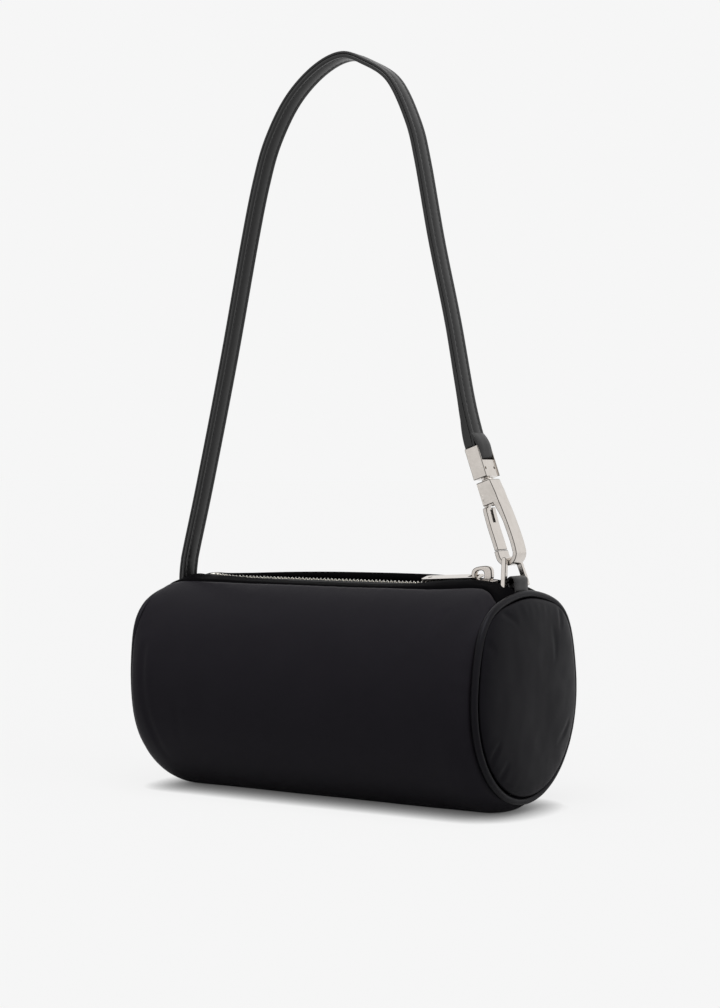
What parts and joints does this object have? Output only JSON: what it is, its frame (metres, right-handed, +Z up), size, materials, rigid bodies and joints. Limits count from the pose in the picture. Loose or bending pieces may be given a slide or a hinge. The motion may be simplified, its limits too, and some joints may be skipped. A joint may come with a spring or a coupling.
{
  "type": "barrel bag",
  "caption": "Small padded barrel bag with piped round ends, a top zip, and a leather strap sewn in at one end and clipped to a ring at the other.",
  "frame": {"origin": "on the ground under the middle of the resting barrel", "axes": "+X along the barrel towards the end with the clipped ring, -Y the front, +Z up along the raised strap"},
  "size_m": [0.233, 0.121, 0.4042],
  "materials": {
    "nylon": "satin woven nylon, black",
    "nylon_trim": "satin nylon bias strip, black",
    "foam": "foam interlining, cream",
    "lining": "plain woven lining, dark grey",
    "cord": "cotton piping cord",
    "tape": "woven zip tape, black",
    "leather": "fine grained calf leather, black",
    "nickel": "polished nickel plate, warm"
  },
  "bodies": {
    "bag": {"body_panel": "nylon", "end_panel_left": "nylon", "end_panel_right": "nylon", "piping_left": "nylon_trim", "piping_right": "nylon_trim", "piping_cord_left": "cord", "piping_cord_right": "cord", "body_foam": "foam", "end_foam_left": "foam", "end_foam_right": "foam", "body_lining": "lining", "end_lining_left": "lining", "end_lining_right": "lining", "zip_end_left": "nylon_trim", "zip_end_right": "nylon_trim", "zip_facing_front": "nylon_trim", "zip_facing_back": "nylon_trim", "zip_tape_front": "tape", "zip_tape_back": "tape", "zip_teeth_front": "nickel", "zip_teeth_back": "nickel", "zip_top_stops": "nickel", "zip_bottom_stop": "nickel", "ring_tab": "leather", "strap_base": "leather"},
    "slider": {"zip_slider": "nickel"},
    "pull": {"zip_pull": "nickel"},
    "strap": {"strap_outer": "leather", "strap_inner": "leather", "strap_end_loop": "leather"},
    "yoke": {"yoke": "nickel", "yoke_pin": "nickel"},
    "hook": {"hook_body": "nickel", "swivel_post": "nickel", "gate_pin": "nickel", "gate_spring": "nickel"},
    "gate": {"gate": "nickel"},
    "ring": {"ring": "nickel"}
  },
  "joints": [
    {"name": "slider_slide", "type": "slide", "parent": "bag", "child": "slider", "axis": [-1, 0, 0], "range_m": [0, 0.156], "deforming": ["zip_teeth_front", "zip_teeth_back"]},
    {"name": "pull_lift", "type": "hinge", "parent": "slider", "child": "pull", "pos_m": [0.08135, 0, 0.12135], "axis": [0, 1, 0], "range_deg": [0, 90]},
    {"name": "strap_sway", "type": "hinge", "parent": "bag", "child": "strap", "pos_m": [0, 0, 0.1335], "axis": [1, 0, 0], "range_deg": [-6, 6]},
    {"name": "yoke_tilt", "type": "hinge", "parent": "strap", "child": "yoke", "pos_m": [0.0818, 0, 0.18493], "axis": [0, 1, 0], "range_deg": [-3, 3]},
    {"name": "hook_swivel", "type": "hinge", "parent": "yoke", "child": "hook", "pos_m": [0.10183, 0, 0.12806], "axis": [-0.3322, 0, 0.9432], "range_deg": [-8, 8]},
    {"name": "gate_open", "type": "hinge", "parent": "hook", "child": "gate", "pos_m": [0.08767, 0, 0.16134], "axis": [0, -1, 0], "range_deg": [0, 14], "stiffness_Nm_per_rad": 0.004, "springref_deg": -20.05},
    {"name": "ring_tilt", "type": "hinge", "parent": "bag", "child": "ring", "pos_m": [0.1038, 0, 0.12002], "axis": [0, 1, 0], "range_deg": [-12, 12]}
  ],
  "couplings": [
    {"joint": "ring_tilt", "follows": "yoke_tilt", "ratio": -3.9354}
  ]
}
